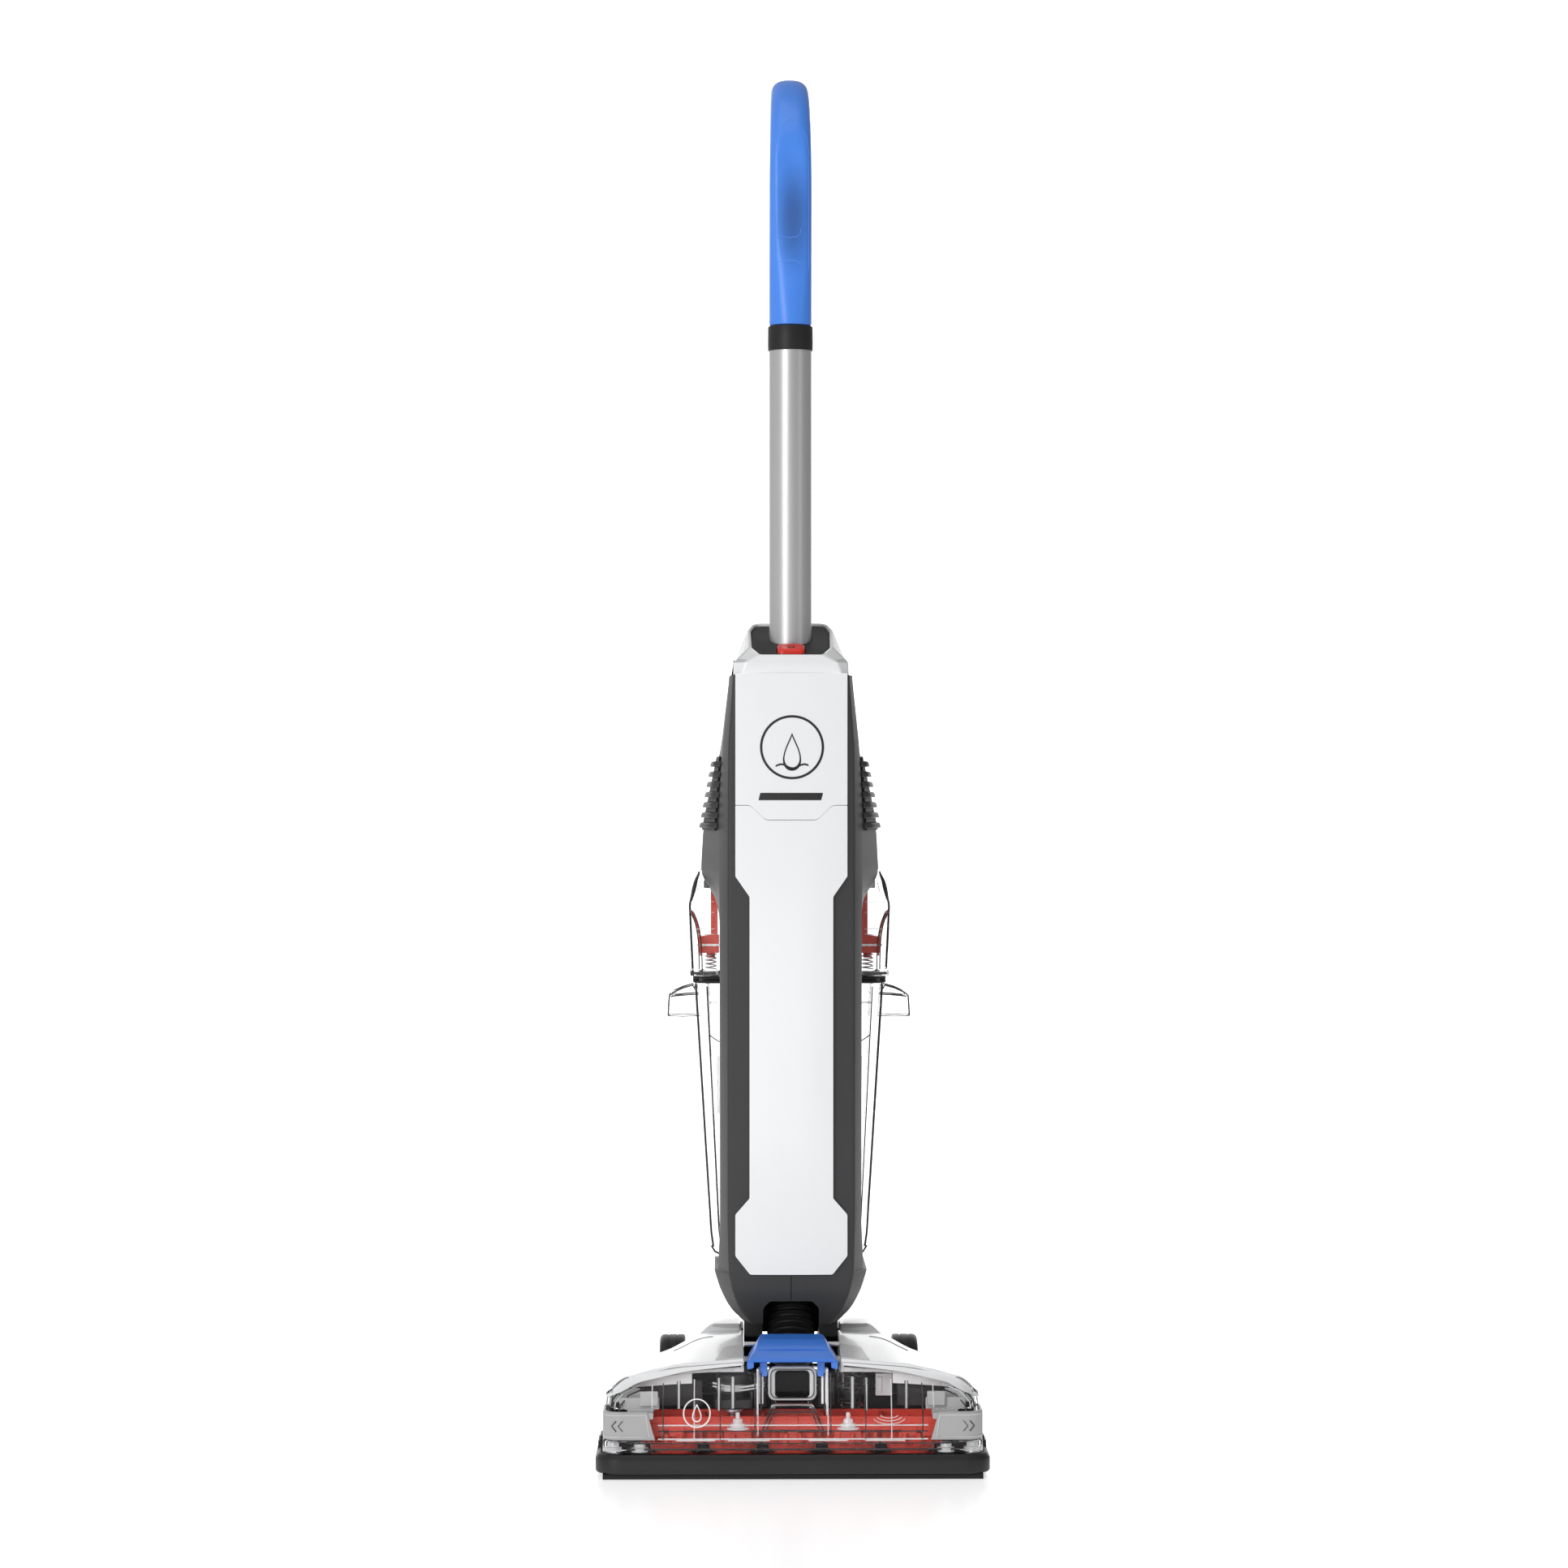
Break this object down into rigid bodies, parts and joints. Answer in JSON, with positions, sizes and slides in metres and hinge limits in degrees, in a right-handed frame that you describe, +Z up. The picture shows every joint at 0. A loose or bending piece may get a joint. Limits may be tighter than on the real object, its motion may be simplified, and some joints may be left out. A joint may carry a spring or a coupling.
{
  "type": "wet dry floor scrubber",
  "caption": "Upright wet and dry hard-floor scrubber with loop handle, white and grey body, clear rear tank, clear nozzle window and meshed rotary brushes.",
  "frame": {"origin": "on the floor, under the middle of the bounding box", "axes": "+Z up, -Y the front (nozzle side), +X to the right of someone facing its front"},
  "size_m": [0.3044, 0.28, 1.1058],
  "materials": {
    "clear_plastic": "clear moulded plastic",
    "white_gloss": "gloss",
    "dark_grey_plastic": "satin",
    "black_rubber": "matte",
    "blue_plastic": "satin",
    "red_plastic": "satin",
    "light_grey_plastic": "satin",
    "silver_tube": "satin",
    "steel": "satin",
    "motor_black": "satin",
    "brush_red": "matte"
  },
  "bodies": {
    "base": {"base_frame": "dark_grey_plastic", "base_cover": "white_gloss", "base_duct": "dark_grey_plastic", "pivot_pin_left": "steel", "pivot_pin_right": "steel", "rear_axle": "steel", "rear_squeegee": "black_rubber", "brush_motor": "motor_black", "solution_diffuser": "clear_plastic", "latch_pin": "steel"},
    "nozzle": {"nozzle_window": "clear_plastic", "bumper": "black_rubber", "front_squeegee": "black_rubber", "nozzle_duct": "clear_plastic", "duct_seal": "light_grey_plastic"},
    "nozzle_latch": {"nozzle_latch": "blue_plastic"},
    "tab_left": {"release_tab_left": "light_grey_plastic"},
    "tab_right": {"release_tab_right": "light_grey_plastic"},
    "brush_block": {"brush_block": "red_plastic"},
    "brush_1": {"brush_1": "brush_red"},
    "brush_2": {"brush_2": "brush_red"},
    "brush_3": {"brush_3": "brush_red"},
    "brush_4": {"brush_4": "brush_red"},
    "brush_5": {"brush_5": "brush_red"},
    "drive_coupler": {"drive_coupler": "steel"},
    "wheel_left": {"wheel_left": "dark_grey_plastic", "tyre_left": "black_rubber"},
    "wheel_right": {"wheel_right": "dark_grey_plastic", "tyre_right": "black_rubber"},
    "upright_body": {"housing_left": "dark_grey_plastic", "housing_right": "dark_grey_plastic", "suction_hose": "black_rubber", "riser_pipe": "dark_grey_plastic", "front_cover_lower": "white_gloss", "front_cover_upper": "white_gloss", "collar": "dark_grey_plastic", "motor_cover": "dark_grey_plastic", "suction_motor": "motor_black", "solution_pump": "motor_black", "vent_grille_left": "dark_grey_plastic", "vent_grille_right": "dark_grey_plastic", "cord_hook_lower": "dark_grey_plastic", "cord_gland": "black_rubber"},
    "fan": {"suction_fan": "steel"},
    "power_button": {"power_button": "red_plastic"},
    "handle": {"handle_tube": "silver_tube", "handle_ring": "dark_grey_plastic", "handle_grip": "blue_plastic", "trigger_pin": "steel"},
    "trigger": {"trigger": "dark_grey_plastic"},
    "cord_hook": {"cord_hook_upper": "dark_grey_plastic"},
    "tanks": {"clean_tank": "clear_plastic", "dirty_tank": "clear_plastic", "tank_seal": "black_rubber", "tank_lid": "clear_plastic", "latch_spring_left": "steel", "latch_spring_right": "steel"},
    "lid_latch": {"lid_latch": "red_plastic"}
  },
  "joints": [
    {"name": "recline", "type": "hinge", "parent": "base", "child": "upright_body", "pos_m": [0, 0.04, 0.072], "axis": [-1, 0, 0], "range_deg": [0, 55], "deforming": ["suction_hose"]},
    {"name": "handle_lift", "type": "slide", "parent": "upright_body", "child": "handle", "axis": [0, 0, 1], "range_m": [0, 0.08]},
    {"name": "trigger_pull", "type": "hinge", "parent": "handle", "child": "trigger", "pos_m": [0, 0.0865, 1.0625], "axis": [1, 0, 0], "range_deg": [0, 7], "stiffness_Nm_per_rad": 1.5},
    {"name": "power_press", "type": "slide", "parent": "upright_body", "child": "power_button", "axis": [0, 0, -1], "range_m": [0, 0.0025], "stiffness_N_per_m": 400},
    {"name": "cord_hook_turn", "type": "hinge", "parent": "handle", "child": "cord_hook", "pos_m": [0, 0.03, 0.89], "axis": [0, 1, 0], "range_deg": [0, 180]},
    {"name": "fan_spin", "type": "hinge", "parent": "upright_body", "child": "fan", "pos_m": [0, 0.03, 0.547], "axis": [0, 0, 1], "continuous": true},
    {"name": "tank_remove", "type": "slide", "parent": "upright_body", "child": "tanks", "axis": [0, 1, 0], "range_m": [0, 0.08]},
    {"name": "lid_latch_press", "type": "slide", "parent": "tanks", "child": "lid_latch", "axis": [0, 0, -1], "range_m": [0, 0.005], "stiffness_N_per_m": 600, "deforming": ["latch_spring_left", "latch_spring_right"]},
    {"name": "nozzle_remove", "type": "slide", "parent": "base", "child": "nozzle", "axis": [0, -1, 0], "range_m": [0, 0.08]},
    {"name": "nozzle_latch_slide", "type": "slide", "parent": "base", "child": "nozzle_latch", "axis": [0, 1, 0], "range_m": [0, 0.005], "stiffness_N_per_m": 400},
    {"name": "tab_left_pull", "type": "slide", "parent": "nozzle", "child": "tab_left", "axis": [-1, 0, 0], "range_m": [0, 0.004], "stiffness_N_per_m": 400},
    {"name": "tab_right_pull", "type": "slide", "parent": "nozzle", "child": "tab_right", "axis": [1, 0, 0], "range_m": [0, 0.004], "stiffness_N_per_m": 400},
    {"name": "brush_block_drop", "type": "slide", "parent": "base", "child": "brush_block", "axis": [0, 0, -1], "range_m": [0, 0.03]},
    {"name": "coupler_spin", "type": "hinge", "parent": "base", "child": "drive_coupler", "pos_m": [-0.046, -0.095, 0.045], "axis": [0, 0, 1], "continuous": true},
    {"name": "brush_1_spin", "type": "hinge", "parent": "brush_block", "child": "brush_1", "pos_m": [-0.092, -0.095, 0.028], "axis": [0, 0, 1], "continuous": true},
    {"name": "brush_2_spin", "type": "hinge", "parent": "brush_block", "child": "brush_2", "pos_m": [-0.046, -0.095, 0.028], "axis": [0, 0, 1], "continuous": true},
    {"name": "brush_3_spin", "type": "hinge", "parent": "brush_block", "child": "brush_3", "pos_m": [0, -0.095, 0.028], "axis": [0, 0, 1], "continuous": true},
    {"name": "brush_4_spin", "type": "hinge", "parent": "brush_block", "child": "brush_4", "pos_m": [0.046, -0.095, 0.028], "axis": [0, 0, 1], "continuous": true},
    {"name": "brush_5_spin", "type": "hinge", "parent": "brush_block", "child": "brush_5", "pos_m": [0.092, -0.095, 0.028], "axis": [0, 0, 1], "continuous": true},
    {"name": "wheel_left_spin", "type": "hinge", "parent": "base", "child": "wheel_left", "pos_m": [-0.095, 0.1, 0.04], "axis": [1, 0, 0], "continuous": true},
    {"name": "wheel_right_spin", "type": "hinge", "parent": "base", "child": "wheel_right", "pos_m": [0.095, 0.1, 0.04], "axis": [1, 0, 0], "continuous": true}
  ],
  "couplings": [
    {"joint": "brush_1_spin", "follows": "brush_2_spin", "ratio": -1},
    {"joint": "brush_3_spin", "follows": "brush_2_spin", "ratio": -1},
    {"joint": "brush_4_spin", "follows": "brush_2_spin", "ratio": 1},
    {"joint": "brush_5_spin", "follows": "brush_2_spin", "ratio": -1},
    {"joint": "coupler_spin", "follows": "brush_2_spin", "ratio": 1}
  ]
}
